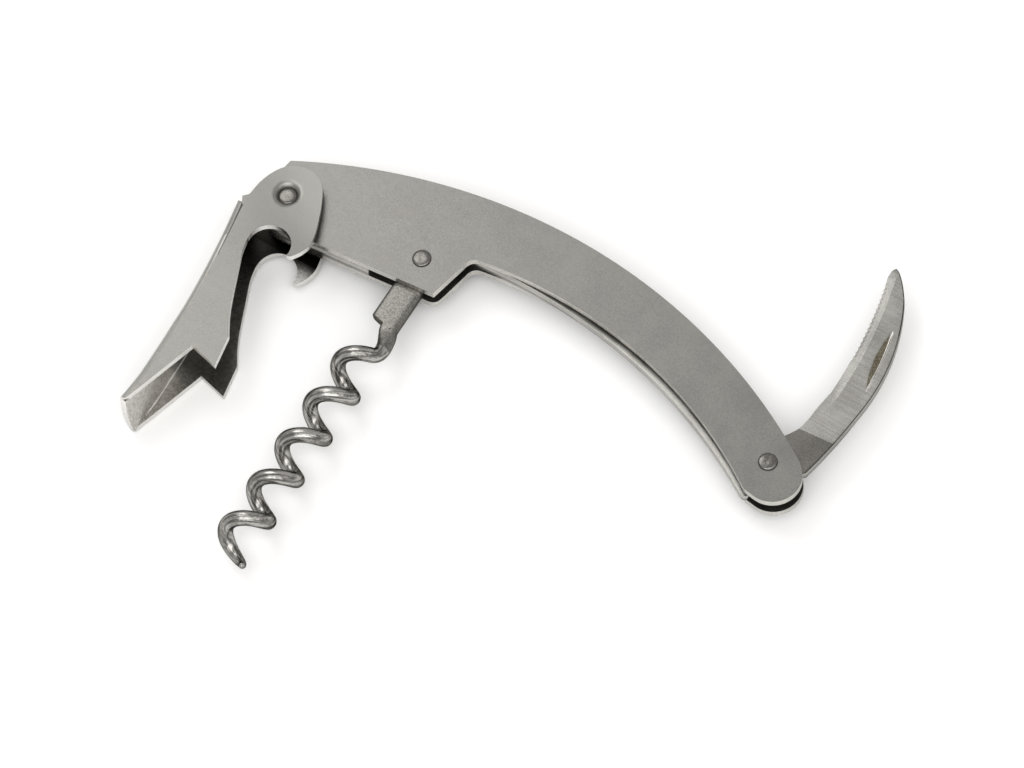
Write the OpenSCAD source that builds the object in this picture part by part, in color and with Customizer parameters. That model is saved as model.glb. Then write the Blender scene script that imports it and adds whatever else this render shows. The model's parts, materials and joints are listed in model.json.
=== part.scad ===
// Lever corkscrew, also called a waiter's friend, all in stainless steel.
// It lies on its side: Z is the thickness, X runs from the lever pivot to the knife pivot.
// The origin is under the middle of the part, at the height of the surface it rests on.

/* [Handle] */
// distance from the lever pivot to the knife pivot
pivot_span = 99.7; // [96:0.1:104]
// thickness of one side plate
plate_thickness = 1.4; // [1.2:0.1:1.6]
// clear gap between the two side plates
plate_gap = 2.4; // [2.4:0.1:2.6]
// radius of the long convex edge of the side plates
convex_radius = 108.1; // [106:0.1:110]
// radius of the long concave edge of the side plates
concave_radius = 87.8; // [86.5:0.1:88]
// radius of the round tail end of the side plates
tail_radius = 5.05; // [4.8:0.05:5.3]
// width of the springy arm of the back spring
spring_arm_width = 2.4; // [1.8:0.1:2.6]

/* [Lever] */
// width of the lever over both cheeks
lever_width = 12.6; // [12:0.1:14]
// thickness of the sheet the lever is pressed from
lever_sheet = 1.2; // [1:0.1:1.4]
// radius of the throat that grips a crown cap
opener_radius = 3.85; // [3.4:0.05:4]
// radius of the pressed dimple around the lever rivet
dimple_radius = 2.45; // [2.2:0.05:2.6]

/* [Worm] */
// radius from the worm's axis to the middle of its wire
worm_radius = 2.8; // [2.3:0.05:2.9]
// radius of the worm's wire
wire_radius = 1.35; // [1.1:0.05:1.45]
// advance of the worm per turn
worm_pitch = 9.1; // [8:0.1:9.5]
// number of turns of the worm
worm_turns = 5.02; // [4:0.01:5.06]
// thickness of the flattened shank of the worm
shank_thickness = 2.2; // [1.8:0.05:2.25]

/* [Knife] */
// thickness of the knife blade
blade_thickness = 2; // [1.4:0.05:2.1]
// spacing of the teeth along the cutting edge
tooth_pitch = 1.4; // [1.3:0.1:2]
// radius of each scalloped tooth
tooth_radius = 0.55; // [0.4:0.05:0.6]
// depth of the nail nick
nick_depth = 0.5; // [0.3:0.05:0.7]

/* [Rivets] */
// radius of the rivet shanks
rivet_radius = 1.3; // [1:0.05:1.4]
// radius of the rivet heads
rivet_head_radius = 1.65; // [1.5:0.05:1.9]
// height of the rivet heads
rivet_head_height = 0.5; // [0.3:0.05:0.7]
// radial running clearance between a rivet and the piece that turns on it
running_clearance = 0.04; // [0.03:0.01:0.08]

/* [Hidden] */
$fn = 64;
middle = lever_width / 2;
near_face = middle + plate_gap / 2 + plate_thickness;
far_face = middle - plate_gap / 2 - plate_thickness;
worm_pivot = [26.7, 2.4];
knife_pivot = [pivot_span, 0];
worm_lean = 2.4;
tang_radius = 4.55;
convex_centre = [46.5, 19.53 - convex_radius];
concave_centre = [50.1, 8.4 - concave_radius];
spring_radius = concave_radius + 13.3;
spring_centre = [45.56, 7.6 - spring_radius];
spring_end = 58.9;
tail_centre = [pivot_span + 2.1, -1.75];
lever_back_centre = [-219.6, -51.5];
lever_back_radius = 218.2;
throat_centre = [3.33, -10.3];
boss_gap = 0.15;
shank_end = 14.2;
first_turn = 19.1;
lead_turn = 0.12;
taper_turns = 0.5;
steel = [0.66, 0.66, 0.65];
bright_steel = [0.78, 0.78, 0.78];

// points along an arc, from one angle to another
function arc(centre, radius, from, to, steps) =
    [for (i = [0:steps]) let(a = from + (to - from) * i / steps) centre + radius * [cos(a), sin(a)]];

// a smooth curve through the given points
function through(points, steps) =
    [for (i = [0:len(points) - 2]) for (k = [0:steps - 1])
        let(
            a = points[max(i - 1, 0)],
            b = points[i],
            c = points[i + 1],
            d = points[min(i + 2, len(points) - 1)],
            t = k / steps
        )
        0.5 * (2 * b + (c - a) * t + (2 * a - 5 * b + 4 * c - d) * t * t + (3 * b - a - 3 * c + d) * t * t * t)];

// everything is laid out from the lever pivot, then moved so that the part is centred on the origin
module placed() {
    translate([-50.4, 9.2, 0])
        children();
}

// the part of the handle that is cut away under the arch
module under_arch() {
    intersection() {
        translate(concave_centre)
            circle(r = concave_radius, $fn = 200);
        union() {
            polygon([[32.1, -3], [33.75, 5.6], [130, 5.6], [130, -60], [32.1, -60]]);
            translate([35.2, 5.6])
                circle(r = 1.42);
            polygon([[35.2, 4], [35.2, 12], [130, 12], [130, 4]]);
        }
    }
}

module handle_outline() {
    difference() {
        union() {
            intersection() {
                translate(convex_centre)
                    circle(r = convex_radius, $fn = 200);
                polygon([
                    [-4.4, 20], [-4.4, 6.9], [-4.95, 0.8], [-4.6, -2.2], [-2.4, -4.5], [3.5, -5.16], [32.3, -2.4],
                    [40, -2.4], tail_centre + [-1.6, -5.5], tail_centre + [0, -4.9], tail_centre,
                    [pivot_span + 7, 4], [pivot_span + 7, 30], [0, 30]
                ]);
            }
            circle(r = 5);
            translate(tail_centre)
                circle(r = tail_radius);
        }
        under_arch();
    }
}

module plate(lift) {
    translate([0, 0, lift])
        linear_extrude(plate_thickness)
            difference() {
                handle_outline();
                circle(r = rivet_radius + running_clearance);
                translate(worm_pivot)
                    circle(r = rivet_radius + 0.02);
                translate(knife_pivot)
                    circle(r = rivet_radius + 0.02);
            }
}

module near_plate() {
    color(steel)
        placed()
            plate(middle + plate_gap / 2);
}

module far_plate() {
    color(steel)
        placed()
            plate(far_face);
}

// the front block that spaces the plates
module spring_block() {
    intersection() {
        handle_outline();
        polygon([[-10, -10], [19.2, -10], [19.2, 3], [22.6, 6.3], [36.6, 6.4], [36.6, 8.7], [0, 8.7], [-10, 8.7]]);
    }
}

// the arm that follows the concave edge and bears on the knife, with a rounded end
module spring_arm() {
    translate(spring_centre + (spring_radius + spring_arm_width / 2) * [cos(spring_end), sin(spring_end)])
        circle(r = spring_arm_width / 2);
    intersection() {
        difference() {
            translate(spring_centre)
                circle(r = spring_radius + spring_arm_width, $fn = 240);
            translate(spring_centre)
                circle(r = spring_radius, $fn = 240);
        }
        polygon([
            [35.6, 0], [35.6, 12], [60, 12], spring_centre + (spring_radius + 9) * [cos(spring_end), sin(spring_end)],
            spring_centre + (spring_radius - 6) * [cos(spring_end), sin(spring_end)], [60, -12]
        ]);
    }
}

module back_spring() {
    color(steel)
        placed()
            translate([0, 0, middle - plate_gap / 2])
                linear_extrude(plate_gap)
                    difference() {
                        union() {
                            spring_block();
                            spring_arm();
                        }
                        circle(r = rivet_radius + running_clearance);
                        translate(worm_pivot)
                            circle(r = 3.7);
                        translate(knife_pivot)
                            circle(r = tang_radius + running_clearance);
                    }
}

module lever_outline() {
    difference() {
        union() {
            polygon(concat(
                [[-1.4, -48.9], [-0.9, -48.7], [-0.3, -47.9], [0.6, -44.8], [3.6, -33.8], [9.2, -35.1]],
                through([[7.9, -29], [5.5, -25.3], [3.7, -21.7], [1.8, -17.5], [0.2, -13.9], [-0.5, -11.4]], 4),
                arc(throat_centre, opener_radius, 180, 2, 18),
                [[6.9, -10.2], [7.4, -10.55], [7.8, -10.4]],
                through([[8.5, -9.5], [9.1, -8], [9.35, -6.3], [8.8, -4], [7.6, -1.1], [5.9, 2.1]], 4),
                [[0, 0], [-5.3, -0.3], [-5.45, -3.9], [-6.4, -5], [-7, -20], [-7, -49]]
            ));
            translate([0.4, 0.2])
                circle(r = 5.85);
        }
        translate(lever_back_centre)
            circle(r = lever_back_radius, $fn = 400);
    }
}

// the inside of the pressed channel: everything forward of the web, and the open top above it
module channel_outline() {
    difference() {
        polygon([[-20, -60], [30, -60], [30, 20], [-20, 20]]);
        intersection() {
            translate(lever_back_centre)
                circle(r = lever_back_radius + lever_sheet, $fn = 400);
            polygon([[-20, -60], [20, -60], [20, -4.3], [-20, -5.6]]);
        }
    }
}

// one pressed dimple, with its floor close to the side plate
module dimple_boss() {
    rotate_extrude()
        polygon([
            [0, 0], [3, 0], [3.5, lever_floor() - lever_sheet], [3.5, lever_floor()], [0, lever_floor()]
        ]);
}

function lever_floor() = middle - plate_gap / 2 - plate_thickness - boss_gap;

module dimple_recess() {
    rotate_extrude()
        polygon([
            [0, -1], [dimple_radius, -1], [dimple_radius, 0.3],
            [dimple_radius - 0.3, lever_floor() - lever_sheet], [0, lever_floor() - lever_sheet]
        ]);
}

module cheek_dimples() {
    for (side = [0, 1])
        translate([0, 0, side * lever_width])
            mirror([0, 0, side])
                translate([0, 0, lever_floor()])
                    mirror([0, 0, 1])
                        dimple_boss();
}

module cheek_recesses() {
    for (side = [0, 1])
        translate([0, 0, side * lever_width])
            mirror([0, 0, side])
                dimple_recess();
}

module lever() {
    color(steel)
        placed()
            difference() {
                union() {
                    difference() {
                        linear_extrude(lever_width)
                            lever_outline();
                        translate([0, 0, lever_sheet])
                            linear_extrude(lever_width - 2 * lever_sheet)
                                channel_outline();
                    }
                    cheek_dimples();
                }
                cheek_recesses();
                translate([0, 0, -1])
                    cylinder(r = rivet_radius + running_clearance, h = lever_width + 2);
            }
}

// the worm's wire: a lead out of the shank, then the coil, getting thinner over the last turn
function coil_point(turn) = [
    worm_radius * cos(360 * turn), -first_turn - worm_pitch * turn, worm_radius * sin(360 * turn)
];
function lead_point(t) =
    let(
        a = [1.5, -shank_end + 2, 0],
        b = [2.4, -shank_end - 2.8, 0],
        d = coil_point(lead_turn),
        c = d - 0.17 * (coil_point(lead_turn + 0.5) - coil_point(lead_turn - 0.5))
            - 0.17 * [-6.2832 * worm_radius * sin(360 * lead_turn), 0, 6.2832 * worm_radius * cos(360 * lead_turn)]
    )
    a * pow(1 - t, 3) + 3 * b * t * pow(1 - t, 2) + 3 * c * t * t * (1 - t) + d * pow(t, 3);
function wire_turn(i) = lead_turn + (i - 12) / 22;
function wire_point(i) = i < 12 ? lead_point(i / 12) : coil_point(wire_turn(i));
function unit(v) = v / norm(v);
function wire_size(turn) =
    turn > worm_turns - taper_turns
        ? wire_radius * (0.1 + 0.9 * pow(max(worm_turns - turn, 0) / taper_turns, 0.7))
        : wire_radius;
function ring(i, sides) =
    let(
        p = wire_point(i),
        along = unit(wire_point(i + 0.5) - wire_point(max(i - 0.5, 0))),
        side = unit(cross(along, [0, 0, 1])),
        up = cross(side, along),
        size = wire_size(wire_turn(i))
    )
    [for (k = [0:sides - 1]) p + size * (side * cos(360 * k / sides) + up * sin(360 * k / sides))];

module worm_wire() {
    sides = 16;
    rings = 12 + floor((worm_turns - lead_turn) * 22);
    polyhedron(
        points = [for (i = [0:rings]) each ring(i, sides)],
        faces = concat(
            [[for (k = [sides - 1:-1:0]) k]],
            [for (i = [0:rings - 1]) for (k = [0:sides - 1])
                [i * sides + k, i * sides + (k + 1) % sides, (i + 1) * sides + k]],
            [for (i = [0:rings - 1]) for (k = [0:sides - 1])
                [(i + 1) * sides + k, i * sides + (k + 1) % sides, (i + 1) * sides + (k + 1) % sides]],
            [[for (k = [0:sides - 1]) rings * sides + k]]
        )
    );
}

module worm_shank() {
    difference() {
        union() {
            translate([0, 0, -shank_thickness / 2])
                linear_extrude(shank_thickness)
                    union() {
                        circle(r = 3.3);
                        polygon([[-2.6, 0], [3, 0], [3, -15], [2.6, -16], [0.4, -16], [0.2, -15.2], [-1.2, -14.8], [-2.4, -14.2]]);
                    }
        }
        translate([0, 0, -5])
            cylinder(r = rivet_radius + running_clearance, h = 10);
    }
}

module worm() {
    color(bright_steel)
        placed()
            translate([worm_pivot[0], worm_pivot[1], middle])
                rotate([0, 0, worm_lean])
                    union() {
                        worm_shank();
                        worm_wire();
                    }
}

// the blade's outline, with the cutting edge on the concave side
module blade_outline() {
    difference() {
        union() {
            intersection() {
                union() {
                    intersection() {
                        translate([pivot_span - 31.1, 19.8])
                            circle(r = 39.1, $fn = 200);
                        translate([pivot_span - 20, 16])
                            square([40, 40]);
                    }
                    translate([pivot_span - 20, -10])
                        square([40, 26.01]);
                }
                translate([pivot_span - 90.5, 21])
                    circle(r = 98.45, $fn = 200);
                polygon([
                    [pivot_span, 0], [pivot_span + 5.8, 1.6], [pivot_span + 12, 10], [pivot_span + 12, 36],
                    [pivot_span + 2.7, 39.4], [pivot_span + 0.5, 42.25], [pivot_span - 0.8, 43.5],
                    [pivot_span - 1.8, 44.1], [pivot_span - 2.3, 43.2], [pivot_span - 2.25, 41.3], [pivot_span - 6, 30],
                    [pivot_span + 1.5, 16.7], [pivot_span + 1.2, 14], [pivot_span + 1, 11], [pivot_span + 0.6, 8.8],
                    [pivot_span - 0.8, 6.3], [pivot_span - 3.4, 3.6]
                ]);
            }
            translate(knife_pivot)
                circle(r = tang_radius);
        }
        intersection() {
            translate([pivot_span - 101.8, 14.1])
                circle(r = 103.4, $fn = 200);
            polygon([
                [pivot_span - 20, 17.4], [pivot_span + 10, 17.4], [pivot_span + 10, 60], [pivot_span - 20, 60]
            ]);
        }
        for (i = [0:floor(25 / tooth_pitch)])
            let(a = (4 + i * tooth_pitch) / 103.4 * 57.2958)
                translate([pivot_span - 101.8, 14.1] + (103.4 - 0.12) * [cos(a), sin(a)])
                    circle(r = tooth_radius, $fn = 24);
    }
}

module nail_nick() {
    intersection() {
        translate([pivot_span + 25, 30.6])
            circle(r = 20.9, $fn = 120);
        translate([pivot_span - 68, 13.7])
            circle(r = 75, $fn = 200);
    }
}

module knife_blade() {
    color(bright_steel)
        placed()
            difference() {
                translate([0, 0, middle - blade_thickness / 2])
                    linear_extrude(blade_thickness)
                        blade_outline();
                translate([0, 0, middle + blade_thickness / 2 - nick_depth])
                    linear_extrude(2)
                        nail_nick();
                translate([knife_pivot[0], knife_pivot[1], 0])
                    cylinder(r = rivet_radius + running_clearance, h = lever_width);
            }
}

// a rivet with a low domed head at each end, standing on Z = 0
module rivet(length) {
    rotate_extrude()
        polygon([
            [0, -rivet_head_height], [rivet_head_radius * 0.55, -rivet_head_height * 0.93],
            [rivet_head_radius * 0.85, -rivet_head_height * 0.6], [rivet_head_radius, -0.1],
            [rivet_head_radius, 0], [rivet_radius, 0],
            [rivet_radius, length], [rivet_head_radius, length], [rivet_head_radius, length + 0.1],
            [rivet_head_radius * 0.85, length + rivet_head_height * 0.6],
            [rivet_head_radius * 0.55, length + rivet_head_height * 0.93], [0, length + rivet_head_height]
        ]);
}

module lever_rivet() {
    head_seat = lever_floor() - lever_sheet - 0.05;
    color(bright_steel)
        placed()
            translate([0, 0, head_seat])
                rivet(lever_width - 2 * head_seat);
}

module worm_rivet() {
    color(bright_steel)
        placed()
            translate([worm_pivot[0], worm_pivot[1], far_face])
                rivet(near_face - far_face);
}

module knife_rivet() {
    color(bright_steel)
        placed()
            translate([knife_pivot[0], knife_pivot[1], far_face])
                rivet(near_face - far_face);
}

near_plate();
far_plate();
back_spring();
lever();
worm();
knife_blade();
lever_rivet();
worm_rivet();
knife_rivet();
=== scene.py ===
import json
import math
import bmesh
import bpy
import numpy as np
from mathutils import Matrix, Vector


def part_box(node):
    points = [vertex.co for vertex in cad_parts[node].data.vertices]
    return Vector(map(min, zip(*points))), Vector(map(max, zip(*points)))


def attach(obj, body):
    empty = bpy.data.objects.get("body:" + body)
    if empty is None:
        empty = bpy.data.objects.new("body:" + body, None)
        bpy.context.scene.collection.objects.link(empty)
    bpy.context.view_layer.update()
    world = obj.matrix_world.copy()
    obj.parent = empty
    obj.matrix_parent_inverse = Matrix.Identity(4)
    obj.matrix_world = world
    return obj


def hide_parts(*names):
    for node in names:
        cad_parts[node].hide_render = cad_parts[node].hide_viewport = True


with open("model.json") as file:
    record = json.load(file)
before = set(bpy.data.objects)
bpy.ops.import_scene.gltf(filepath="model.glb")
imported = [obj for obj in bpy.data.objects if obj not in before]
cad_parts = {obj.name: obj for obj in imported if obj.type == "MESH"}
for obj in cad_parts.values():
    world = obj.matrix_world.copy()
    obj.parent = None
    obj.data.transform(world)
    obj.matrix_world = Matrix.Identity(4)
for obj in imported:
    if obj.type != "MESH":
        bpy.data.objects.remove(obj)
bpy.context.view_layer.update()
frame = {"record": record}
print("cad frame loaded")

mm = 0.001

# joint places come from the record, and every outline below is in mm from the lever's pivot
jointPlace = {joint["name"]: np.array(joint["pos_m"]) for joint in frame["record"]["behaviour"]["joints"]}
leverPivot = jointPlace["lever_swing"]
wormPivot = (jointPlace["worm_fold"] - leverPivot) / mm
knifePivot = (jointPlace["knife_fold"] - leverPivot) / mm


def nodeZ(node):
    # lowest and highest place of a CAD piece, less the pivot's height, in mm
    low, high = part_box(node)
    return (low[2] - leverPivot[2]) / mm, (high[2] - leverPivot[2]) / mm


def smoothThrough(points, steps=16):
    # Catmull-Rom: each stretch is a cubic that leaves a point along the line between its neighbours
    p = np.asarray(points, float)
    p = np.vstack([2 * p[0] - p[1], p, 2 * p[-1] - p[-2]])
    t = (np.arange(steps) / steps)[None, :, None]
    a, b, c, d = p[:-3, None], p[1:-2, None], p[2:-1, None], p[3:, None]
    squared = (2 * a - 5 * b + 4 * c - d) * t**2
    cubed = (3 * b - a - 3 * c + d) * t**3
    q = 0.5 * (2 * b + (c - a) * t + squared + cubed)
    return np.vstack([q.reshape(-1, p.shape[1]), p[-2]])


def arcOf(centre, radius, fromDeg, toDeg, steps=48):
    # circle: centre plus radius times the cosine and sine of the angle
    angle = np.radians(np.linspace(fromDeg, toDeg, steps + 1))
    return np.stack([centre[0] + radius * np.cos(angle), centre[1] + radius * np.sin(angle)], 1)


def lengthsOf(path):
    # running length of a path: the sum of its steps so far
    return np.concatenate([[0], np.cumsum(np.linalg.norm(np.diff(path, axis=0), axis=1))])


def pointsAt(path, where):
    # straight-line interpolation at the given lengths along a path
    run = lengthsOf(path)
    return np.stack([np.interp(where, run, path[:, k]) for k in range(path.shape[1])], -1)


def pairRows(left, right, knots, spacing):
    # ruled strip: even rows between two edges, where each knot ties a place on one edge to one on the other
    edges = [np.asarray(edge, float) for edge in (left, right)]
    stops = []
    for side, edge in enumerate(edges):
        run = lengthsOf(edge)
        ties = [run[np.argmin(np.linalg.norm(edge - np.array(knot[side]), axis=1))] for knot in knots]
        stops.append(np.concatenate([[0], ties, [run[-1]]]))
    longest = np.maximum(np.diff(stops[0]), np.diff(stops[1]))
    rows = np.maximum(3, np.ceil(longest / spacing))
    knotRows = np.concatenate([[0], np.cumsum(rows)])
    row = np.arange(knotRows[-1] + 1)
    return [pointsAt(edge, np.interp(row, knotRows, stop)) for edge, stop in zip(edges, stops)]


def ease(x):
    # smooth step: 3 x squared less 2 x cubed, held at 0 and 1
    x = np.clip(x, 0, 1)
    return x * x * (3 - 2 * x)


def addMesh(name, points, faces, finishes, body, stands):
    # one piece that takes a CAD piece's place and rides on its body; points are in mm from the pivot
    mesh = bpy.data.meshes.new(name)
    mesh.from_pydata((np.asarray(points) * mm + leverPivot).tolist(), [], faces)
    for finish in finishes:
        mesh.materials.append(finish)
    mesh.polygons.foreach_set("use_smooth", [True] * len(mesh.polygons))
    mesh.update()
    obj = bpy.data.objects.new(name, mesh)
    bpy.context.collection.objects.link(obj)
    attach(obj, body)
    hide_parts(stands)
    return obj


def gridFaces(index, closeCols=False):
    # a quad for each cell of a grid of point numbers
    a = np.hstack([index, index[:, :1]]) if closeCols else index
    return np.stack([a[:-1, :-1], a[:-1, 1:], a[1:, 1:], a[1:, :-1]], -1).reshape(-1, 4)


def facesOut(obj):
    # turns every face of a closed piece outward
    work = bmesh.new()
    work.from_mesh(obj.data)
    bmesh.ops.recalc_face_normals(work, faces=work.faces)
    work.to_mesh(obj.data)
    work.free()


def addSheet(name, grid, valid, thickness, edgeRadius, finishes, body, stands, flip=False, bent=None):
    # pressed sheet: a grid of its middle surface, thickened both ways, with its cut edges broken
    # finishes are outer, inner and edge, and three more for the cells marked as bent
    index = np.full(valid.shape, -1)
    index[valid] = np.arange(valid.sum())
    quads = gridFaces(index)
    quads = quads[(quads >= 0).all(1)]
    corners = grid[valid][quads]
    twiceArea = np.linalg.norm(np.cross(corners[:, 2] - corners[:, 0], corners[:, 3] - corners[:, 1]), axis=1)
    quads = quads[twiceArea > 1e-4]  # a cell squeezed to nothing has no normal
    if flip:
        quads = quads[:, ::-1]
    used = np.unique(quads)
    renumber = np.full(valid.sum(), -1)
    renumber[used] = np.arange(len(used))
    obj = addMesh(name, grid[valid][used], renumber[quads].tolist(), finishes, body, stands)
    if bent is not None:
        firstBent = len(finishes) // 2
        bentCells = np.where(bent[valid][quads].all(1), firstBent, 0)
        obj.data.polygons.foreach_set("material_index", bentCells.astype(np.int32))
    thick = obj.modifiers.new("thickness", "SOLIDIFY")
    thick.thickness = thickness * mm
    thick.offset = 0
    thick.material_offset = 1
    thick.material_offset_rim = 2
    broken = obj.modifiers.new("edges", "BEVEL")
    broken.width = edgeRadius * mm
    broken.segments = 2
    broken.limit_method = "ANGLE"
    broken.angle_limit = math.radians(50)
    broken.harden_normals = True
    # the broken edges take the edge finish, a painted highlight
    broken.material = 2
    return obj


def addSlab(name, top, bottom, finishes, body, stands):
    # two grids of the same shape, one above the other, joined round the rim
    rows, cols = top.shape[:2]
    count = rows * cols
    up = np.arange(count).reshape(rows, cols)
    rim = np.concatenate([up[0, :-1], up[:-1, -1], up[-1, :0:-1], up[:0:-1, 0]])
    nextRim = np.roll(rim, -1)
    side = np.stack([rim, nextRim, nextRim + count, rim + count], 1)
    quads = np.vstack([gridFaces(up)[:, ::-1], gridFaces(up + count), side])
    points = np.concatenate([top.reshape(-1, 3), bottom.reshape(-1, 3)])
    return addMesh(name, points, quads.tolist(), finishes, body, stands)


def linear(hexColour):
    # sRGB to linear: a straight line near black, a power of 2.4 above it
    c = np.array([int(hexColour[i:i + 2], 16) / 255 for i in (1, 3, 5)])
    return (*np.where(c <= 0.04045, c / 12.92, ((c + 0.055) / 1.055) ** 2.4), 1.0)


def addNode(tree, kind, links=None, **settings):
    # a node with its settings, its socket values and its links
    node = tree.nodes.new(kind)
    for key, value in settings.items():
        if hasattr(node, key):
            setattr(node, key, value)
        else:
            node.inputs[key.replace("_", " ")].default_value = value
    for key, source in (links or {}).items():
        tree.links.new(source, node.inputs[key])
    return node


def perMetre(size):
    # how many patterns of this size in mm fit in a metre
    return 1 / (size * mm)


noiseSpan = {"From_Min": 0.3, "From_Max": 0.7}  # nearly all of a noise's values lie between these
stainSpan = {"From_Min": 0.3, "From_Max": 0.4}  # a stain lies only in a noise's deepest hollows


def grimeDepth(tree, look, axes):
    # how much painted shade a place gets: the greatest of the deep end, which is its x ramp times its y
    # ramp, the strip under the plates, and the step at the tip
    reach = []
    for axis, key, most in ((0, "grimeX", 1.0), (1, "grimeY", 1.0), (1, "grimeUnder", 1.0),
            (1, "grimeStep", look["grimeStepMost"])):
        start, end = leverPivot[axis] + np.array(look[key]) * mm
        reach.append(addNode(tree, "ShaderNodeMapRange", {"Value": axes[axis]},
            From_Min=start, From_Max=end, To_Max=most).outputs["Result"])
    deep = addNode(tree, "ShaderNodeMath", {0: reach[0], 1: reach[1]}, operation="MULTIPLY").outputs[0]
    under = addNode(tree, "ShaderNodeMath", {0: deep, 1: reach[2]}, operation="MAXIMUM").outputs[0]
    return addNode(tree, "ShaderNodeMath", {0: under, 1: reach[3]}, operation="MAXIMUM").outputs[0]


def steel(name, look):
    # colour: from dark to light by clouds + speckle + streaks, with stains, painted light and painted shade
    # laid over it
    # roughness: clouds + lines; relief: the grain, with the grinding lines on top of it
    material = bpy.data.materials.new(name)
    material.use_nodes = True
    tree = material.node_tree
    shader = tree.nodes["Principled BSDF"]
    place = addNode(tree, "ShaderNodeTexCoord").outputs["Object"]
    axes = addNode(tree, "ShaderNodeSeparateXYZ", {"Vector": place}).outputs
    along = place
    if "along" in look:
        along = addNode(tree, "ShaderNodeAttribute", attribute_name=look["along"]).outputs["Vector"]
    turned = addNode(tree, "ShaderNodeMapping", {"Vector": along},
        Rotation=(0, 0, math.radians(look["lineTurn"])), Scale=look["lineScale"]).outputs["Vector"]
    clouds = addNode(tree, "ShaderNodeTexNoise", {"Vector": place},
        Scale=perMetre(look["cloudSize"]), Detail=5.0, Roughness=0.55).outputs["Fac"]
    stains = addNode(tree, "ShaderNodeTexNoise", {"Vector": place},
        Scale=perMetre(look["stainSize"]), Detail=8.0, Roughness=0.7).outputs["Fac"]
    grain = addNode(tree, "ShaderNodeTexNoise", {"Vector": place},
        Scale=perMetre(look["grainSize"]), Detail=3.0, Roughness=0.6).outputs["Fac"]
    lines = addNode(tree, "ShaderNodeTexNoise", {"Vector": turned},
        Scale=perMetre(look["lineSize"]), Detail=4.0, Roughness=0.65).outputs["Fac"]

    speckle = addNode(tree, "ShaderNodeMapRange", {"Value": grain}, **noiseSpan,
        To_Min=-look["speckle"], To_Max=look["speckle"]).outputs["Result"]
    streak = addNode(tree, "ShaderNodeMapRange", {"Value": lines}, **noiseSpan,
        To_Min=-look["streak"], To_Max=look["streak"]).outputs["Result"]
    speckled = addNode(tree, "ShaderNodeMath", {0: clouds, 1: speckle}, operation="ADD").outputs[0]
    streaked = addNode(tree, "ShaderNodeMath", {0: speckled, 1: streak}, operation="ADD").outputs[0]
    tone = addNode(tree, "ShaderNodeMapRange", {"Value": streaked}, **noiseSpan).outputs["Result"]
    colour = addNode(tree, "ShaderNodeMix", {"Factor": tone}, data_type="RGBA",
        A=linear(look["dark"]), B=linear(look["light"])).outputs["Result"]
    stained = addNode(tree, "ShaderNodeMapRange", {"Value": stains}, **stainSpan,
        To_Min=look["stainStrength"], To_Max=0.0).outputs["Result"]
    colour = addNode(tree, "ShaderNodeMix", {"Factor": stained, "A": colour}, data_type="RGBA",
        B=linear(look["stain"])).outputs["Result"]
    # painted light: the colour lifted towards the lever's head
    if "paintedTone" in look:
        start, end = leverPivot[1] + np.array(look["paintedLightY"]) * mm
        paintedLight = addNode(tree, "ShaderNodeMapRange", {"Value": axes["Y"]}, From_Min=start, From_Max=end,
            To_Max=look["paintedLightStrength"]).outputs["Result"]
        colour = addNode(tree, "ShaderNodeMix", {"Factor": paintedLight, "A": colour}, data_type="RGBA",
            B=linear(look["paintedTone"])).outputs["Result"]
    # painted shade: darkening deep in the channel, under the plates and at the step
    if "grime" in look:
        shadeAmount = grimeDepth(tree, look, axes)
        colour = addNode(tree, "ShaderNodeMix", {"Factor": shadeAmount, "A": colour}, data_type="RGBA",
            B=linear(look["grime"])).outputs["Result"]

    cloudRough = addNode(tree, "ShaderNodeMapRange", {"Value": clouds}, **noiseSpan,
        To_Min=look["rough"][0], To_Max=look["rough"][1]).outputs["Result"]
    lineRough = addNode(tree, "ShaderNodeMapRange", {"Value": lines}, **noiseSpan,
        To_Min=-look["lineRough"], To_Max=look["lineRough"]).outputs["Result"]
    rough = addNode(tree, "ShaderNodeMath", {0: cloudRough, 1: lineRough}, operation="ADD").outputs[0]
    grainRelief = addNode(tree, "ShaderNodeBump", {"Height": grain},
        Strength=look["grainStrength"], Distance=look["grainDepth"] * mm).outputs["Normal"]
    lineRelief = addNode(tree, "ShaderNodeBump", {"Height": lines, "Normal": grainRelief},
        Strength=look["lineStrength"], Distance=look["lineDepth"] * mm).outputs["Normal"]
    tree.links.new(colour, shader.inputs["Base Color"])
    tree.links.new(rough, shader.inputs["Roughness"])
    tree.links.new(lineRelief, shader.inputs["Normal"])
    shader.inputs["Metallic"].default_value = 1.0
    # the tint at the edges holds the shine down where the metal is seen at a glance
    shader.inputs["Specular Tint"].default_value = (look["edgeTint"],) * 3 + (1.0,)
    return material


# stainless sheet tumbled with stones: an even grey satin, faintly cloudy, with a grain drawn coarser
# than the real one so that it shows; sizes are in mm
satinLook = {
    "dark": "#797774", "light": "#878681", "stain": "#736d66", "stainStrength": 0.18, "edgeTint": 0.7,
    "speckle": 0.25, "streak": 0.05,
    "cloudSize": 7.0, "stainSize": 3.2, "grainSize": 0.22, "lineSize": 1.2,
    "lineTurn": 10.0, "lineScale": (0.05, 4.0, 1.0), "lineRough": 0.03,
    "rough": (0.34, 0.42), "grainStrength": 0.6, "grainDepth": 0.03,
    "lineStrength": 0.15, "lineDepth": 0.01,
}
# the same sheet on its hidden side: duller, as it left the rolls, and darker in colour as painted shade
paintedShadeInnerLook = dict(satinLook, dark="#3d3b38", light="#54514d", rough=(0.42, 0.55), edgeTint=0.4,
    stainStrength=0.5)
# sheared and tumbled edge: a sharper shine than the flats, and painted bright as a painted highlight
highlightRimLook = dict(satinLook, dark="#bfbcb7", light="#d8d5d0", rough=(0.22, 0.32), stainStrength=0.1,
    lineScale=(1.0, 1.0, 0.1))
# the lever's cut edges and their broken corners: painted almost white, a painted highlight
leverHighlightRimLook = dict(highlightRimLook, dark="#dad8d4", light="#eeece9")
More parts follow.
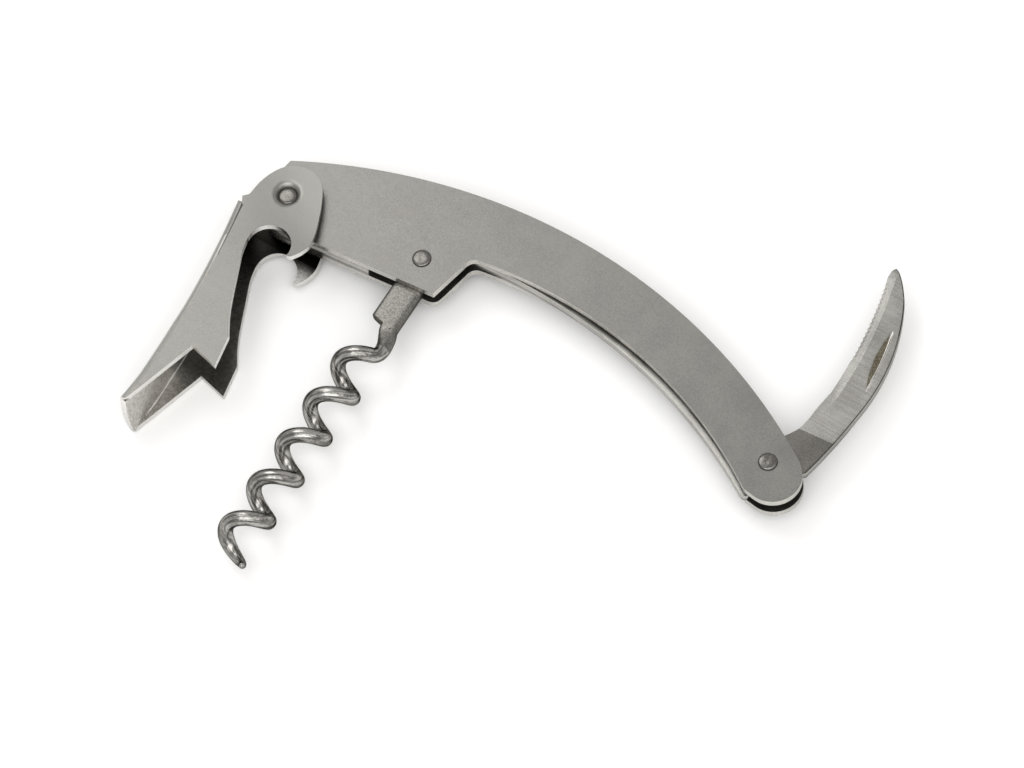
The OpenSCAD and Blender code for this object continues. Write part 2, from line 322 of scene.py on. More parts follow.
# the lever's cheeks: the same satin, with painted light towards the head that lifts the shade of its dished
# slope
leverLook = dict(satinLook, paintedLightY=(-13.0, -3.5), paintedTone="#92918c", paintedLightStrength=0.72)
# the lever's bent back: the same satin painted lighter, a painted light that lifts the shade where the bend
# turns away
paintedLightWebLook = dict(satinLook, dark="#9f9e99", light="#adaca7", edgeTint=1.0)
# the lever's channel: unpolished and speckled, painted lighter than the cheeks as painted light, with painted
# shade deep inside, under the plates and at the step
leverInnerLightShadeLook = dict(paintedShadeInnerLook, dark="#c2c0bb", light="#dfddd8", rough=(0.26, 0.38),
    speckle=0.6, grainSize=0.5, grime="#151412", grimeX=(6.5, 3.0), grimeY=(-30.0, -6.0),
    grimeUnder=(-9.5, -6.2), grimeStep=(-36.6, -33.2), grimeStepMost=0.55)
# drawn wire, polished: long streaks along it and hard highlights
wireLook = dict(satinLook, dark="#73716d", light="#b0aeaa", stainStrength=0.15, cloudSize=3.0, edgeTint=0.12,
    speckle=0.2, streak=0.7, rough=(0.15, 0.26), grainSize=0.4, grainStrength=0.4,
    along="wireRun", lineTurn=0.0, lineScale=(0.06, 1.0, 1.0), lineSize=0.35,
    lineStrength=0.6, lineDepth=0.03, lineRough=0.08)
# the wire where it is pressed flat: pitted by the die
shankLook = dict(satinLook, dark="#6a6864", light="#83817c", grainSize=0.35, grainStrength=0.9, speckle=0.6,
    rough=(0.28, 0.38), edgeTint=0.25)
# peened rivet head: darker and shinier than the sheet round it
rivetLook = dict(satinLook, dark="#625f5b", light="#7b7975", rough=(0.2, 0.28), edgeTint=0.12)
# ground blade: fine lines across it
groundLook = dict(satinLook, dark="#8f8d89", light="#aaa8a3", streak=0.22, lineTurn=8.0,
    lineScale=(0.04, 3.0, 1.0), lineSize=0.5, lineStrength=0.3, lineDepth=0.015, lineRough=0.04,
    rough=(0.3, 0.38), grainStrength=0.3)
# the milled nail nick: a brownish film left in it
grooveLook = dict(groundLook, dark="#655f51", light="#8c8675", rough=(0.34, 0.44), speckle=0.5)
# the blade's root, left unground: darker, partly its own tone and partly painted shade beside the plates
tangLook = dict(satinLook, dark="#62605c", light="#7a7773")
# hardened spring strip: a lighter, smoother satin
springLook = dict(satinLook, dark="#a9a7a2", light="#c1bfba", rough=(0.28, 0.38))

satinSteel = steel("tumbled_stainless_sheet", satinLook)
paintedShadeInnerSteel = steel("painted_shade_stainless_inner_face", paintedShadeInnerLook)
highlightRimSteel = steel("painted_highlight_stainless_edge", highlightRimLook)
leverHighlightRimSteel = steel("painted_highlight_stainless_pressed_edge", leverHighlightRimLook)
leverSteel = steel("stainless_pressing_painted_light_at_head", leverLook)
paintedLightWebSteel = steel("painted_light_stainless_bend", paintedLightWebLook)
leverInnerLightShadeSteel = steel("unpolished_stainless_channel_painted_light_and_shade", leverInnerLightShadeLook)
wireSteel = steel("drawn_stainless_wire", wireLook)
shankSteel = steel("pressed_stainless_shank", shankLook)
rivetSteel = steel("peened_stainless_rivet", rivetLook)
groundSteel = steel("cross_ground_stainless", groundLook)
grooveSteel = steel("milled_stainless_groove", grooveLook)
tangSteel = steel("unground_stainless_tang_painted_shade", tangLook)
springSteel = steel("hardened_spring_steel", springLook)
print("materials made")


handle = {
    "convexCentre": (46.5, -88.57), "convexRadius": 108.1, "convexFromX": -4.4, "convexTo": 57.4,
    "concaveCentre": (50.1, -79.4), "concaveRadius": 87.8, "concaveFrom": 98.6, "concaveTo": 56.2,
    "tailFromPivot": (2.1, -1.75), "tailRadius": 5.05, "tailFrom": 47, "tailTo": -98, "tailMiddle": -14,
    "nose": [(-4.6, 4.6), (-4.4, 6.6)],
    "throat": [(-4.9, 0.8), (-4.75, -1.8), (-3.2, -4.0), (-0.4, -5.25), (3.0, -5.2)],
    "corner": [(32.3, -2.4)],
    "farCorner": [(29.8, -2.64), (31.4, -2.45), (32.35, -1.75), (32.75, -0.4)],
    "shoulder": [(33.8, 5.6), (34.25, 6.5), (35.1, 7.08), (36.2, 7.3)], "shoulderFoot": (33.7, 4.9),
    "sectionTies": [((28.5, 18), (32.3, -2.4)), ((33.5, 18.7), (33.8, 5.6)), ((37, 19.1), (36.2, 7.3)),
        ((103.4, 3.3), (98.94, -6.44))],
    "rowSpacing": 0.35, "across": 36, "edgeRadius": 0.2,
}


def plateEdges(corner):
    # the convex edge is one arc into the round tail;
    # the concave edge goes throat, corner, shoulder, arc and tail
    h = handle
    tail = knifePivot[:2] + h["tailFromPivot"]
    noseAngle = math.degrees(math.acos((h["convexFromX"] - h["convexCentre"][0]) / h["convexRadius"]))
    upper = np.vstack([
        h["nose"],
        arcOf(h["convexCentre"], h["convexRadius"], noseAngle, h["convexTo"], 220),
        arcOf(tail, h["tailRadius"], h["tailFrom"], h["tailMiddle"], 30),
    ])
    throat = smoothThrough(h["throat"])
    lower = np.vstack([
        throat,
        corner,
        h["shoulderFoot"],
        smoothThrough(h["shoulder"]),
        arcOf(h["concaveCentre"], h["concaveRadius"], h["concaveFrom"], h["concaveTo"], 200),
        arcOf(tail, h["tailRadius"], h["tailTo"], h["tailMiddle"], 30),
    ])
    ties = [(upper[1], throat[20])] + h["sectionTies"]
    return pairRows(upper, lower, ties, h["rowSpacing"])


def addPlate(node, corner, flip):
    # flat sheet ruled between the two edges: upper (1 - t) + lower t
    upper, lower = plateEdges(corner)
    low, high = nodeZ(node)
    t = np.linspace(0, 1, handle["across"])[None, :, None]
    flat = upper[:, None] * (1 - t) + lower[:, None] * t
    grid = np.concatenate([flat, np.full(flat.shape[:2] + (1,), (low + high) / 2)], -1)
    everywhere = np.ones(grid.shape[:2], bool)
    # the hidden side of each plate takes painted shade, its cut edge a painted highlight
    finishes = (satinSteel, paintedShadeInnerSteel, highlightRimSteel)
    addSheet(node + "_sheet", grid, everywhere, high - low, handle["edgeRadius"], finishes,
        "handle", node, flip)


addPlate("near_plate", handle["corner"], False)
addPlate("far_plate", smoothThrough(handle["farCorner"], 8), True)
print("plates built")


lever = {
    "sheet": 1.2, "backCentre": (-219.6, -51.5), "backRadius": 218.2, "backTopY": -4.9, "backTipY": -48.8,
    "head": [(-5.45, -3.8), (-5.35, -0.6), (-4.7, 2.1), (-3.5, 4.3), (-1.9, 5.5), (0.2, 6.1), (2.3, 5.75),
        (4.3, 4.5), (6.0, 2.0), (7.5, -1.0), (8.75, -4.0), (9.3, -6.4), (9.05, -8.1), (8.5, -9.4),
        (7.85, -10.4)],
    "step": [(-0.45, -48.3), (-0.3, -47.9), (0.6, -44.8), (3.6, -33.8), (9.2, -35.1)],
    "stem": [(7.95, -29.1), (5.5, -25.3), (3.7, -21.7), (1.8, -17.5), (0.2, -13.9), (-0.5, -11.2)],
    "throatCentre": (3.33, -10.3), "throatRadius": 3.85, "hook": [(7.0, -10.4), (7.2, -10.6)],
    "backTies": [(-31.3, (3.6, -33.8)), (-30.4, (9.2, -35.1)), (-28.0, (7.95, -29.1))],
    "headTies": [(16, (0.6, -7.6)), (80, (3.3, -6.45)), (144, (6.05, -7.6)), (200, (7.1, -9.4))],
    "bend": 1.6, "bendLeast": 0.75, "bendShare": 0.6,
    "dishDepth": 1.7, "dishToward": (0.5, 0.86), "dishWidth": 3.9, "dishShift": 4.0, "dishGap": 0.12,
    "dimpleFloor": 1.85, "dimpleRim": 2.5, "tipBow": 0.5, "tipRows": 6,
    "rowSpacing": 0.28, "across": 44, "webColumns": 26, "bendColumns": 8, "edgeRadius": 0.22,
}


def leverEdges():
    # back: one long arc; head: a smooth line round the rivet; front: the step, the stem and the throat's arc
    centre, radius = lever["backCentre"], lever["backRadius"]
    topAngle, tipAngle = [math.degrees(math.asin((y - centre[1]) / radius))
        for y in (lever["backTopY"], lever["backTipY"])]
    back = arcOf(centre, radius, tipAngle, topAngle, 120)
    head = smoothThrough(lever["head"])
    front = np.vstack([
        lever["step"],
        smoothThrough(lever["stem"]),
        arcOf(lever["throatCentre"], lever["throatRadius"], 178, 0, 60),
        lever["hook"],
    ])
    return back, head, front


def leverDish(x, y):
    # depth pressed in: a logistic slope towards the head, and a flat-floored dimple under the rivet,
    # both stopping short of the plate
    along = x * lever["dishToward"][0] + y * lever["dishToward"][1]
    broad = lever["dishDepth"] / (1 + np.exp(-(along + lever["dishShift"]) / lever["dishWidth"]))
    deepest = nodeZ("lever")[1] - nodeZ("near_plate")[1] - lever["dishGap"] - lever["sheet"]
    fall = ease((np.hypot(x, y) - lever["dimpleFloor"]) / (lever["dimpleRim"] - lever["dimpleFloor"]))
    return np.minimum(broad * fall + deepest * (1 - fall), deepest)


def addLever():
    # one strip of sheet carried along the lever: near cheek, quarter-circle bend, web, bend, far cheek
    back, head, front = leverEdges()
    sheet, half = lever["sheet"], nodeZ("lever")[1] - lever["sheet"] / 2
    ties = [(back[np.argmin(abs(back[:, 1] - y))], place) for y, place in lever["backTies"]]
    ties += [(back[-1], (-0.3, -13.0))]
    ties += [(head[number], place) for number, place in lever["headTies"]]
    left, right = pairRows(np.vstack([back, head]), front, ties, lever["rowSpacing"])
    webEnd = int(np.argmin(np.linalg.norm(left - back[-1], axis=1)))
    rows = len(left)
    width = np.linalg.norm(right - left, axis=1)
    across = (right - left) / width[:, None]
    inset = np.clip(width * lever["bendShare"], lever["bendLeast"], lever["bend"])
    inset[webEnd + 1:] = 0  # the head has no web

    t = np.linspace(0, 1, lever["across"])[None, :, None]
    start = left + across * inset[:, None]
    cheek = right[:, None] * (1 - t) + start[:, None] * t
    cheekZ = half - leverDish(cheek[..., 0], cheek[..., 1])

    bendRadius = (inset - sheet / 2)[:, None]
    angle = np.linspace(0, math.pi / 2, lever["bendColumns"] + 1)[None, 1:]
    bendOut = bendRadius * np.sin(angle)
    bendZ = half - bendRadius * (1 - np.cos(angle))
    middleZ = (half - bendRadius) * np.linspace(1, -1, lever["webColumns"] + 1)[None, 1:-1]
    out = np.hstack([bendOut, np.repeat(bendRadius, middleZ.shape[1], 1), bendOut[:, ::-1]])
    webZ = np.hstack([bendZ, middleZ, -bendZ[:, ::-1]])
    web = start[:, None] - across[:, None] * out[..., None]
    nearTip = np.clip(1 - np.arange(rows) / lever["tipRows"], 0, 1)[:, None]
    web[..., 1] -= lever["tipBow"] * nearTip * (1 - (webZ / half) ** 2)

    near = np.concatenate([cheek, cheekZ[..., None]], -1)
    far = np.concatenate([cheek, -cheekZ[..., None]], -1)[:, ::-1]
    grid = np.concatenate([near, np.concatenate([web, webZ[..., None]], -1), far], 1)
    cheekColumns = near.shape[1]
    valid = np.ones(grid.shape[:2], bool)
    valid[webEnd + 1:, cheekColumns:-cheekColumns] = False
    column = np.arange(grid.shape[1])
    bent = (column >= cheekColumns) & (column < grid.shape[1] - cheekColumns)
    # the bend and web take painted light, the channel painted light and shade, the cut edges a painted
    # highlight
    finishes = (leverSteel, leverInnerLightShadeSteel, leverHighlightRimSteel, paintedLightWebSteel, leverInnerLightShadeSteel, leverHighlightRimSteel)
    addSheet("lever_pressing", grid, valid, sheet, lever["edgeRadius"], finishes,
        "lever", "lever", True, np.broadcast_to(bent, valid.shape))


addLever()
print("lever built")


worm = {
    "lean": 2.4, "radius": 2.8, "wire": 1.35, "pitch": 9.1, "firstTurn": 19.1, "leadTurn": 0.12,
    "turns": 5.02, "taper": 0.4, "taperPower": 0.7, "tip": 0.28, "tipOut": 0.75, "flarePower": 1.5,
    "shankLeft": -2.5, "shankRight": 3.0, "shankThick": 1.1,
    "shankStretches": [(-3.2, -2.4, 12), (-2.2, 12.4, 40), (12.5, 13.9, 30)],
    "eyeLeft": -3.0, "eyeTo": -2.0, "eyeRadius": 3.25,
    "shoulderLeft": -0.15, "shoulderFrom": 12.7, "shoulderRun": 0.9,
    "leadFrom": 1.42, "leadPull": (1.1, 2.3), "leadReach": 2.4,
    "roundRings": 24, "narrowRings": 45, "pressedRings": 34, "squareness": 5.0,
    "ringsPerTurn": 90, "sides": 48,
}


def coilAt(turn):
    # helix: x and z go once round a circle each turn while y goes on by one pitch
    angle = 2 * math.pi * turn
    return np.stack([worm["radius"] * np.cos(angle), worm["firstTurn"] + worm["pitch"] * turn,
        worm["radius"] * np.sin(angle)], -1)


def addWorm():
    # a superellipse section carried along shank, lead and helix: a rounded bar that turns into round wire
    w = worm
    turn = np.linspace(w["leadTurn"], w["turns"], int(w["ringsPerTurn"] * (w["turns"] - w["leadTurn"])))
    shankT = np.concatenate([np.linspace(*stretch) for stretch in w["shankStretches"]])
    shoulder = ease((shankT - w["shoulderFrom"]) / w["shoulderRun"])
    flatSide = np.where(shankT < w["eyeTo"], w["eyeLeft"], w["shankLeft"])
    leftSide = flatSide * (1 - shoulder) + w["shoulderLeft"] * shoulder
    shank = np.stack([(leftSide + w["shankRight"]) / 2, shankT, np.zeros_like(shankT)], -1)

    # the lead is a cubic Bezier from the shank's end into the first turn
    first = coilAt(np.array([w["leadTurn"], w["leadTurn"] + 0.01]))
    away = (first[1] - first[0]) / np.linalg.norm(first[1] - first[0])
    a = np.array([w["leadFrom"], shankT[-1], 0])
    b = a + np.array([*w["leadPull"], 0])
    c = first[0] - away * w["leadReach"]
    s = np.linspace(0, 1, 60)[1:, None]
    lead = a * (1 - s)**3 + 3 * b * s * (1 - s)**2 + 3 * c * s**2 * (1 - s) + first[0] * s**3

    # half width, half thickness and squareness of every ring
    n, onward = len(shankT), len(lead) + len(turn)
    roundTop = np.sqrt(1 - (np.clip(-shankT, 0, None) / w["eyeRadius"]) ** 2)
    halfU = np.concatenate([(w["shankRight"] - leftSide) / 2 * roundTop, np.full(onward, w["wire"])])
    halfZ = np.concatenate([np.full(n, w["shankThick"]), np.full(onward, w["wire"])])
    power = np.concatenate([np.full(n, w["squareness"]), np.full(onward, 2.0)])
    blend = ease(np.linspace(0, 1, w["roundRings"]))
    narrow = ease(np.linspace(0, 1, w["narrowRings"]))
    halfZ[n:n + w["roundRings"]] = w["shankThick"] * (1 - blend) + w["wire"] * blend
    power[n:n + w["roundRings"]] = w["squareness"] * (1 - blend) + 2.0 * blend
    halfU[n:n + w["narrowRings"]] = halfU[n - 1] + (w["wire"] - halfU[n - 1]) * narrow
    taper = np.clip((w["turns"] - turn) / w["taper"], 0, 1) ** w["taperPower"]
    halfU[-len(turn):] *= w["tip"] + (1 - w["tip"]) * taper
    halfZ[-len(turn):] *= w["tip"] + (1 - w["tip"]) * taper
    run = coilAt(turn)
    flare = w["tipOut"] / w["radius"] * (1 - taper) ** w["flarePower"]
    run[:, [0, 2]] *= (1 + flare)[:, None]  # the point stands out from the coil

    path = np.vstack([shank, lead, run])
    forward = np.gradient(path, axis=0)
    forward[:n] = (0, 1, 0)
    forward /= np.linalg.norm(forward, axis=1)[:, None]
    side = np.cross(forward, (0, 0, 1))
    side /= np.linalg.norm(side, axis=1)[:, None]
    up = np.cross(side, forward)
    angle = np.linspace(0, 2 * math.pi, w["sides"], endpoint=False)
    cosine, sine = np.cos(angle)[None], np.sin(angle)[None]
    sectionU = np.sign(cosine) * np.abs(cosine) ** (2 / power[:, None]) * halfU[:, None]
    sectionZ = np.sign(sine) * np.abs(sine) ** (2 / power[:, None]) * halfZ[:, None]
    p = path[:, None] + side[:, None] * sectionU[..., None] + up[:, None] * sectionZ[..., None]
    lean = math.radians(w["lean"])
    x = wormPivot[0] + p[..., 0] * math.cos(lean) + p[..., 1] * math.sin(lean)
    y = wormPivot[1] + p[..., 0] * math.sin(lean) - p[..., 1] * math.cos(lean)
    points = np.stack([x, y, p[..., 2]], -1).reshape(-1, 3)

    rings = len(path)
    index = np.arange(rings * w["sides"]).reshape(rings, w["sides"])
    faces = gridFaces(index, closeCols=True).tolist() + [index[0].tolist(), index[-1][::-1].tolist()]
    obj = addMesh("worm_wire", points, faces, (wireSteel, shankSteel),
        "worm", "worm")
    ringOf = np.repeat(np.arange(rings - 1), w["sides"])
    pressed = np.concatenate([ringOf < n + w["pressedRings"], [True, False]])
    obj.data.polygons.foreach_set("material_index", pressed.astype(np.int32))
    # the drawing lines follow the wire: length along it, and the place round it
    around = [np.tile(w["wire"] * wave[0], rings) for wave in (cosine, sine)]
    wireRun = np.stack([np.repeat(lengthsOf(path), w["sides"]), *around], -1) * mm
    obj.data.attributes.new("wireRun", "FLOAT_VECTOR", "POINT").data.foreach_set("vector", wireRun.ravel())
    facesOut(obj)


addWorm()
print("worm built")


# places on the blade are in mm from its own pivot
knife = {
    "tip": [(-1.8, 44.08), (-2.1, 43.7), (-2.25, 43.0), (-2.2, 41.9)],
    "edgeCentre": (-101.8, 14.1), "edgeRadius": 103.4, "edgeFrom": 15.3, "edgeTo": 1.8,
    "root": [(1.45, 16.9), (1.2, 14.0), (1.0, 11.0), (0.6, 8.8), (-0.8, 6.3), (-3.2, 3.4), (-4.3, 1.4),
        (-4.5, -0.8), (-3.0, -3.4), (-0.6, -4.5)],
    "clip": [(-1.72, 44.06), (-0.8, 43.46), (0.5, 42.22), (1.7, 40.8)],
    "spineCentre": (-31.1, 19.8), "spineRadius": 39.1, "spineFrom": 30.0, "spineTo": -5.4,
    "neckCentre": (-90.5, 21.0), "neckRadius": 98.45, "neckFrom": -3.0, "neckTo": -11.0,
    "tang": [(5.3, 1.4), (4.4, -1.2), (2.6, -3.7), (-0.4, -4.53)],
    "ties": [((0.4, 33.8), (4.9, 33.8)), ((1.5, 17.4), (7.8, 16.4)), ((0.6, 8.8), (6.7, 8.0)),
        ((-4.3, 1.4), (5.6, 1.6))],
    "nickInner": (25.0, 30.6, 20.9), "nickOuter": (-68.0, 13.7, 75.0), "nickDepth": 0.5, "nickSlope": 1.3,
    "nickLip": 0.2, "nickHighlight": 0.4, "darkRootTo": (8.8, 0.08),
    "wedge": 0.1, "bevelDrop": 0.45, "bevelWidth": 1.5, "groundFrom": 12.0, "groundRun": 14.0,
    "underShare": 0.8, "toothPitch": 1.0, "toothDepth": 0.2, "toothReach": 0.6, "teethFrom": 24.0,
    "teethTo": 41.5, "teethFade": 2.0, "spineRound": 0.16, "spineBand": 0.24, "rowSpacing": 0.13,
    "across": 64,
}


def wholeCells(mask):
    # a cell counts when its two opposite corners do
    return (mask[:-1, :-1] & mask[1:, 1:]).ravel()


def addKnife():
    # height = face - wedge - bevel - nick - rounded spine; the edge is pushed in by |sin| teeth
    k = knife
    low, high = nodeZ("knife_blade")
    edge = np.vstack([
        smoothThrough(k["tip"], 8),
        arcOf(k["edgeCentre"], k["edgeRadius"], k["edgeFrom"], k["edgeTo"], 220),
        smoothThrough(k["root"]),
    ])
    spine = np.vstack([
        smoothThrough(k["clip"], 10),
        arcOf(k["spineCentre"], k["spineRadius"], k["spineFrom"], k["spineTo"], 120),
        arcOf(k["neckCentre"], k["neckRadius"], k["neckFrom"], k["neckTo"], 60),
        smoothThrough(k["tang"]),
    ])
    left, right = pairRows(edge, spine, k["ties"], k["rowSpacing"])
    width = np.linalg.norm(right - left, axis=1)[:, None]
    across = (right - left)[:, None] / np.maximum(width, 1e-6)[..., None]
    # the teeth fade in and out, and so does the ground bevel behind them
    y0 = left[:, 1:]
    toothed = ease((y0 - k["teethFrom"]) / k["teethFade"]) * ease((k["teethTo"] - y0) / k["teethFade"])
    ground = ease((y0 - k["groundFrom"]) / k["groundRun"])
    scallop = np.abs(np.sin(math.pi * lengthsOf(left)[:, None] / k["toothPitch"])) ** 0.8
    u = np.linspace(0, 1, k["across"])[None]
    d = (0.4 * u + 0.6 * u**1.5) * width  # closer rows near the edge
    fromSpine = width - d
    push = k["toothDepth"] * scallop * toothed * np.clip(1 - d / k["toothReach"], 0, 1)
    flat = left[:, None] + across * (d + push)[..., None]
    x, y = flat[..., 0], flat[..., 1]
    bevel = k["bevelDrop"] * np.clip(1 - d / k["bevelWidth"], 0, 1) ** 0.9
    drop = ground * (k["wedge"] * np.clip(1 - d / width.max(), 0, 1) + bevel)
    # nail nick: the lens between two circles, deepest beside the spine and running out towards the edge
    inner, outer = [reach - np.hypot(x - cx, y - cy) for cx, cy, reach in (k["nickInner"], k["nickOuter"])]
    inNick = (inner > 0) & (outer > 0)
    nick = k["nickDepth"] * np.clip(inner / k["nickSlope"], 0, 1) * ease(outer / k["nickLip"])
    roundness = k["spineRound"]
    fallen = np.clip(roundness - fromSpine, 0, None)
    chamfer = roundness - np.sqrt(np.clip(roundness**2 - fallen**2, 0, None))
    inPlace = flat + knifePivot[:2]
    top = np.concatenate([inPlace, (high - drop - nick - chamfer)[..., None]], -1)
    bottom = np.concatenate([inPlace, (low + drop * k["underShare"] + chamfer)[..., None]], -1)
    finishes = (groundSteel, grooveSteel, tangSteel, paintedShadeInnerSteel, highlightRimSteel)
    obj = addSlab("knife_blade_ground", top, bottom, finishes, "knife", "knife_blade")

    # finishes by cell: 0 ground, 1 groove, 2 darker root, partly painted shade, 3 painted shade along the
    # back, 4 painted highlight on the nick's edge
    paintedTone = wholeCells(y < k["darkRootTo"][0] + k["darkRootTo"][1] * x)
    topSlots = np.where(paintedTone, 2, 0)
    # painted shade: a dark line along the rounded back
    topSlots[wholeCells(fromSpine < k["spineBand"])] = 3
    topSlots[wholeCells(inNick)] = 1
    # painted highlight: a bright line along the nick's outer edge
    topSlots[wholeCells(inNick) & wholeCells(outer < k["nickHighlight"])] = 4
    slots = np.zeros(len(obj.data.polygons), np.int32)
    slots[:len(topSlots)] = topSlots
    slots[len(topSlots):2 * len(topSlots)] = np.where(paintedTone, 2, 0)
    obj.data.polygons.foreach_set("material_index", slots)
    facesOut(obj)


addKnife()
print("knife built")


rivet = {
    "shank": 1.3, "head": 1.68, "height": 0.5, "rim": 0.14, "undercut": 0.3, "domePower": 3.4,
    "peen": 0.02, "lobes": 2.4, "rings": 25, "around": 72,
}


def addRivet(name, body, centre, phase):
    # turned profile: height = rim + dome times the root of (1 - q to a power), with wandering hammer marks
    low, high = nodeZ(name)
    radius, height, rim = rivet["head"], rivet["height"], rivet["rim"]
    q = np.linspace(0, 1, rivet["rings"] + 1)[1:]
    domeR = radius * q
    domeZ = (height - rim) * (1 - q**rivet["domePower"]) ** 0.5 + rim
    under = radius - rivet["undercut"]
    profileR = np.concatenate([domeR, [under, rivet["shank"], rivet["shank"], under], domeR[::-1]])
    seats = [high - height, high - height, low + height, low + height]
    profileZ = np.concatenate([high - height + domeZ, seats, (low + height - domeZ)[::-1]])
    angle = np.linspace(0, 2 * math.pi, rivet["around"], endpoint=False)[None]
    reach = np.clip(profileR[:, None] / radius, 0, 1)
    twice = np.cos(2 * angle + phase) * np.sin(math.pi * reach)
    thrice = rivet["lobes"] * np.cos(3 * angle - 2 * phase) * reach**2 * (1 - reach)
    heads = np.zeros(len(profileR))
    heads[:len(q)], heads[-len(q):] = 1, -1
    z = profileZ[:, None] - rivet["peen"] * (1 + twice + thrice) * heads[:, None]
    x = centre[0] + profileR[:, None] * np.cos(angle)
    y = centre[1] + profileR[:, None] * np.sin(angle)
    ring = np.stack([x, y, z], -1)
    rows, cols = ring.shape[:2]
    index = np.arange(rows * cols).reshape(rows, cols)
    top, bottom = rows * cols, rows * cols + 1
    following = np.roll(np.arange(cols), -1)
    faces = gridFaces(index, closeCols=True).tolist()
    faces += np.stack([np.full(cols, top), index[0][following], index[0]], 1).tolist()
    faces += np.stack([np.full(cols, bottom), index[-1], index[-1][following]], 1).tolist()
    poles = [(centre[0], centre[1], high - rivet["peen"]), (centre[0], centre[1], low + rivet["peen"])]
    points = np.vstack([ring.reshape(-1, 3), poles])
    obj = addMesh(name + "_peened", points, faces, (rivetSteel,), body, name)
    facesOut(obj)


addRivet("lever_rivet", "pin", (0, 0), 0.4)
addRivet("worm_rivet", "handle", wormPivot, 1.9)
addRivet("knife_rivet", "handle", knifePivot, 3.1)
print("rivets built")


spring = {
    "centre": (45.56, -93.5), "inside": 101.45, "width": 2.05, "arcFrom": 95.0, "arcTo": 58.25,
    "endRound": 1.15, "armThick": 1.35, "fullUntil": 37.0, "thinFrom": 60.0, "tang": 4.65,
    "blockEnd": 19.2, "blockFoot": [(19.3, 8.9), (19.3, 6.1)], "bridge": [(19.7, 8.7), (19.7, 6.3)],
    "topGap": 0.03, "armLift": 0.1, "rowSpacing": 0.35, "across": 12,
}


def addSpring():
    # ruled slab: a block between the fronts of the plates, a bridge over the worm, and the arm between
    # two arcs of one centre; the arm stops at the circle of the round tang, and its end is a half circle
    low, high = nodeZ("back_spring")
    upper, lower = plateEdges(handle["corner"])
    blockUpper = upper[:(upper[:, 0] < spring["blockEnd"]).sum()]
    blockLower = lower[lower[:, 0] < spring["blockEnd"]]
    blockLower = blockLower[:int(np.argmax(blockLower[:, 0])) + 1]

    centre, inside, outside = np.array(spring["centre"]), spring["inside"], spring["inside"] + spring["width"]
    angle = np.radians(np.linspace(spring["arcFrom"], spring["arcTo"], 300))
    out = np.stack([np.cos(angle), np.sin(angle)], 1)
    tang = knifePivot[:2] - centre
    along, off = out @ tang, np.abs(out[:, 0] * tang[1] - out[:, 1] * tang[0])
    chord = np.sqrt(np.clip(spring["tang"]**2 - off**2, 0, None))
    outer = np.minimum(outside, np.where(off < spring["tang"], along - chord, outside))
    toEnd = (angle - angle[-1]) * outside
    narrow = np.sqrt(np.clip(1 - np.clip(1 - toEnd / spring["endRound"], 0, 1) ** 2, 0.02, 1))
    half, middle = (outer - inside) / 2 * narrow, (outer + inside) / 2
    outerArc = centre + out * (middle + half)[:, None]
    innerArc = centre + out * (middle - half)[:, None]

    (footUp, footDown), (bridgeUp, bridgeDown) = spring["blockFoot"], spring["bridge"]
    ties = [(blockUpper[-1], blockLower[-1]), (bridgeUp, bridgeDown), (outerArc[0], innerArc[0])]
    left, right = pairRows(np.vstack([blockUpper, footUp, bridgeUp, outerArc]),
        np.vstack([blockLower, footDown, bridgeDown, innerArc]), ties, spring["rowSpacing"])
    t = np.linspace(0, 1, spring["across"])[None, :, None]
    flat = left[:, None] * (1 - t) + right[:, None] * t
    thin = ease((left[:, 0] - spring["fullUntil"]) / (spring["thinFrom"] - spring["fullUntil"]))
    top = (high - spring["topGap"]) * (1 - thin) + (low + spring["armLift"] + spring["armThick"]) * thin
    topGrid = np.concatenate([flat, np.broadcast_to(top[:, None, None], flat.shape[:2] + (1,))], -1)
    bottomGrid = np.concatenate([flat, np.full(flat.shape[:2] + (1,), low + spring["topGap"])], -1)
    obj = addSlab("back_spring_strip", topGrid, bottomGrid, (springSteel,),
        "handle", "back_spring")
    facesOut(obj)


addSpring()
print("spring built")


board = {"size": 3.0, "below": 0.1, "dark": "#f6f6f5", "light": "#fafaf9", "patchSize": 16.7, "rough": 0.9}


def addFloor():
    # white matt board: clean and pale, so it gives only a soft contact shadow
    material = bpy.data.materials.new("white_matt_board")
    material.use_nodes = True
    tree = material.node_tree
    place = addNode(tree, "ShaderNodeTexCoord").outputs["Object"]
    patches = addNode(tree, "ShaderNodeTexNoise", {"Vector": place},
        Scale=perMetre(board["patchSize"]), Detail=3.0)
    tone = addNode(tree, "ShaderNodeMix", {"Factor": patches.outputs["Fac"]}, data_type="RGBA",
        A=linear(board["dark"]), B=linear(board["light"]))
    shader = tree.nodes["Principled BSDF"]
    tree.links.new(tone.outputs["Result"], shader.inputs["Base Color"])
    shader.inputs["Roughness"].default_value = board["rough"]
    x, y = np.meshgrid(*[np.linspace(-board["size"], board["size"], 5)] * 2)
    points = np.stack([x.ravel(), y.ravel(), np.full(x.size, -board["below"] * mm)], 1)
    mesh = bpy.data.meshes.new("floor")
    mesh.from_pydata(points.tolist(), [], gridFaces(np.arange(x.size).reshape(x.shape)).tolist())
    mesh.materials.append(material)
    floor = bpy.data.objects.new("floor", mesh)
    bpy.context.collection.objects.link(floor)


view = {
    "azimuth": 132.96, "elevation": 61.5, "roll": 10.5, "distance": 1.0, "lens": 203.9,
    "lookAt": (52.89, -8.91, -0.3),
}


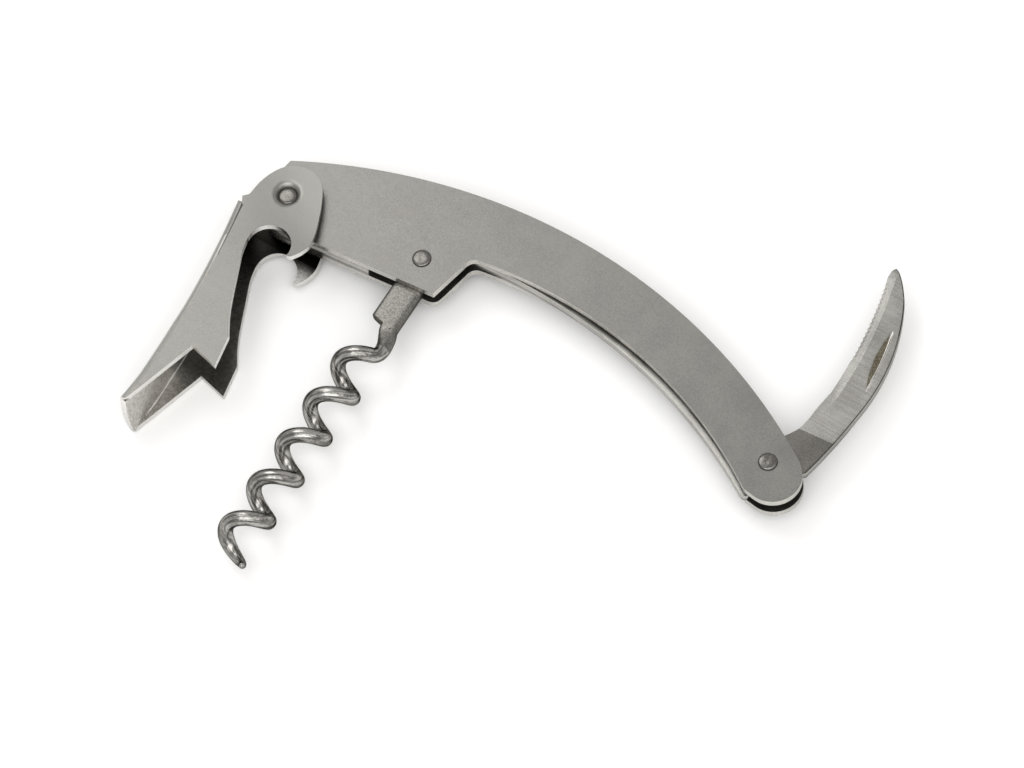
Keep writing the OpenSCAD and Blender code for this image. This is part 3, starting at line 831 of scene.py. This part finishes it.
def addCamera():
    # looks down at the elevation, towards the azimuth, turned by the roll; gives back its right and its down
    azimuth, elevation, roll = [math.radians(view[key]) for key in ("azimuth", "elevation", "roll")]
    flat = math.cos(elevation)
    forward = np.array([flat * math.cos(azimuth), flat * math.sin(azimuth), -math.sin(elevation)])
    level = np.cross(forward, (0, 0, 1))
    level /= np.linalg.norm(level)
    steep = np.cross(forward, level)
    right = math.cos(roll) * level + math.sin(roll) * steep
    down = math.cos(roll) * steep - math.sin(roll) * level
    eye = np.array(view["lookAt"]) * mm + leverPivot - forward * view["distance"]
    data = bpy.data.cameras.new("camera")
    data.lens = view["lens"]
    data.sensor_width = 36
    data.clip_start = 0.05
    obj = bpy.data.objects.new("camera", data)
    turn = np.stack([right, -down, -forward, eye], 1)
    obj.matrix_world = Matrix([*turn.tolist(), [0, 0, 0, 1]])
    bpy.context.collection.objects.link(obj)
    bpy.context.scene.camera = obj
    return right, down


def addSoftbox(name, toward, distance, size, power, colour="#ffffff"):
    # a rectangular lamp at that distance from the part's middle, facing it
    z = np.array(toward, float)
    z /= np.linalg.norm(z)
    x = np.cross((0, 0, 1), z)
    x /= np.linalg.norm(x)
    data = bpy.data.lights.new(name, "AREA")
    data.shape = "RECTANGLE"
    data.size, data.size_y = size
    data.energy = power
    data.color = linear(colour)[:3]
    obj = bpy.data.objects.new(name, data)
    turn = np.stack([x, np.cross(z, x), z, z * distance], 1)
    obj.matrix_world = Matrix([*turn.tolist(), [0, 0, 0, 1]])
    bpy.context.collection.objects.link(obj)


addFloor()
right, down = addCamera()

# lamps stand beside the camera's own right and up, laid flat on the floor
flatUp = np.array([-down[0], -down[1], 0])
flatUp /= np.linalg.norm(flatUp)
flatRight = np.cross(flatUp, (0, 0, 1))


def besideCamera(rightward, upward, height):
    # so much to the right, so much away from the camera, so much up
    return flatRight * rightward + flatUp * upward + np.array([0, 0, height])


addSoftbox("key_left", besideCamera(-0.46, 0.62, 1.15), 0.45, (0.25, 0.25), 0.45)
addSoftbox("front", besideCamera(0.0, -1.0, 1.5), 1.3, (1.3, 1.1), 9.6)
addSoftbox("fill_right", besideCamera(1.0, -0.4, 1.0), 1.1, (0.5, 0.5), 1.0, "#fff9f8")

world = bpy.data.worlds.new("studio")
world.use_nodes = True
world.node_tree.nodes["Background"].inputs["Color"].default_value = linear("#faf9f8")
world.node_tree.nodes["Background"].inputs["Strength"].default_value = 0.72
bpy.context.scene.world = world
bpy.context.scene.view_settings.view_transform = "Standard"
print("stage lit")
